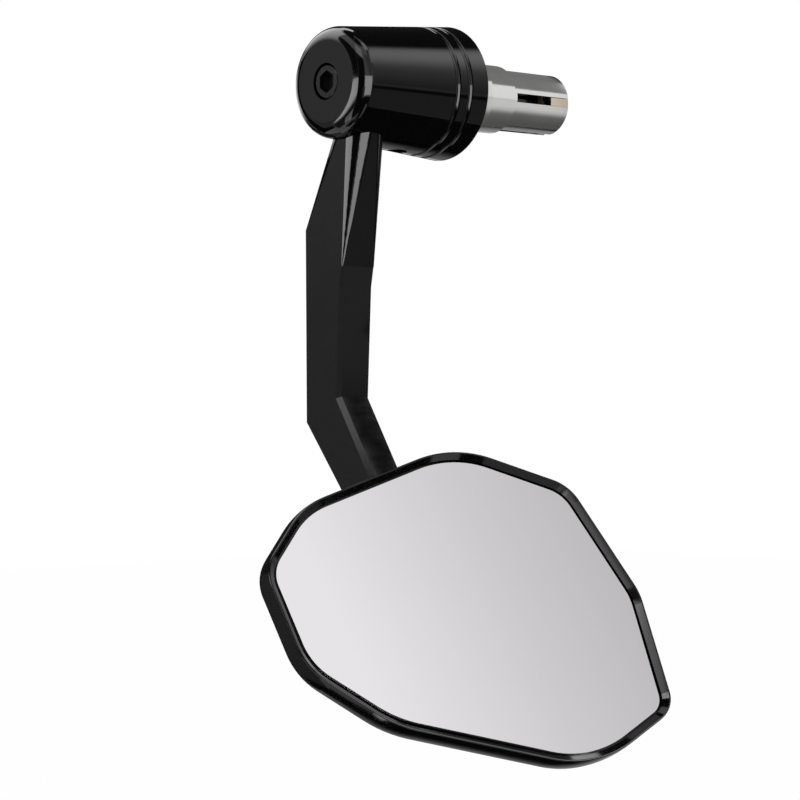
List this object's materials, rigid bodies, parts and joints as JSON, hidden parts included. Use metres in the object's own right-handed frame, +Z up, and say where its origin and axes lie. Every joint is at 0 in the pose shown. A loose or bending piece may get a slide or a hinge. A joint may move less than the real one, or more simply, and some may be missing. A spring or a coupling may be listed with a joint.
{
  "type": "motorcycle bar end mirror",
  "caption": "Bar end mirror: tapered end piece with an expanding plug, angular arm hanging below it, and a nine-cornered convex mirror head on a ball joint.",
  "frame": {"origin": "on the handlebar axis, in the plane where the end of the handlebar tube butts on the sleeve", "axes": "+X along the handlebar towards the middle of the machine, +Y forwards, +Z up"},
  "size_m": [0.1137, 0.0917, 0.1814],
  "materials": {
    "black_anodised": "gloss black anodised",
    "polished_steel": "polished plated steel",
    "black_steel": "black oxide",
    "plain_steel": "bright zinc",
    "cone_brass": "turned brass",
    "seat_plastic": "moulded black",
    "foam_adhesive": "foam",
    "silvered_glass": "silvered"
  },
  "bodies": {
    "spigot": {"spigot_sleeve": "polished_steel", "expander_collet": "polished_steel"},
    "bolt": {"clamp_bolt": "black_steel"},
    "cone": {"expander_cone": "cone_brass"},
    "housing": {"bar_end_housing": "black_anodised", "mirror_arm": "black_anodised", "locking_screw": "black_steel", "bolt_washer": "plain_steel", "swivel_washer": "seat_plastic", "pivot_ball": "plain_steel", "pivot_screw": "black_steel", "pivot_lock_washer": "plain_steel"},
    "rear_seat": {"rear_seat_ring": "seat_plastic"},
    "front_seat": {"front_seat_cup": "seat_plastic"},
    "head": {"mirror_shell": "black_anodised", "glass_pad": "foam_adhesive", "mirror_glass": "silvered_glass", "socket_cap": "black_anodised", "socket_cap_screws": "black_steel", "preload_spring": "plain_steel"}
  },
  "joints": [
    {"name": "housing_swivel", "type": "hinge", "parent": "spigot", "child": "housing", "pos_m": [0, 0, 0], "axis": [1, 0, 0], "continuous": true},
    {"name": "bolt_turn", "type": "hinge", "parent": "spigot", "child": "bolt", "pos_m": [0, 0, 0], "axis": [1, 0, 0], "range_deg": [-1080, 0]},
    {"name": "cone_draw", "type": "slide", "parent": "spigot", "child": "cone", "axis": [1, 0, 0], "range_m": [0, 0.003]},
    {"name": "head_pan", "type": "hinge", "parent": "housing", "child": "rear_seat", "pos_m": [-0.0383, -0.0332, -0.1299], "axis": [0, 0.2079, 0.9781], "range_deg": [-2, 58]},
    {"name": "head_tilt", "type": "hinge", "parent": "rear_seat", "child": "front_seat", "pos_m": [-0.0383, -0.0332, -0.1299], "axis": [0.8746, -0.4848, 0], "range_deg": [-9, 18]},
    {"name": "head_roll", "type": "hinge", "parent": "front_seat", "child": "head", "pos_m": [-0.0383, -0.0332, -0.1299], "axis": [-0.4672, -0.8428, 0.2672], "continuous": true}
  ]
}
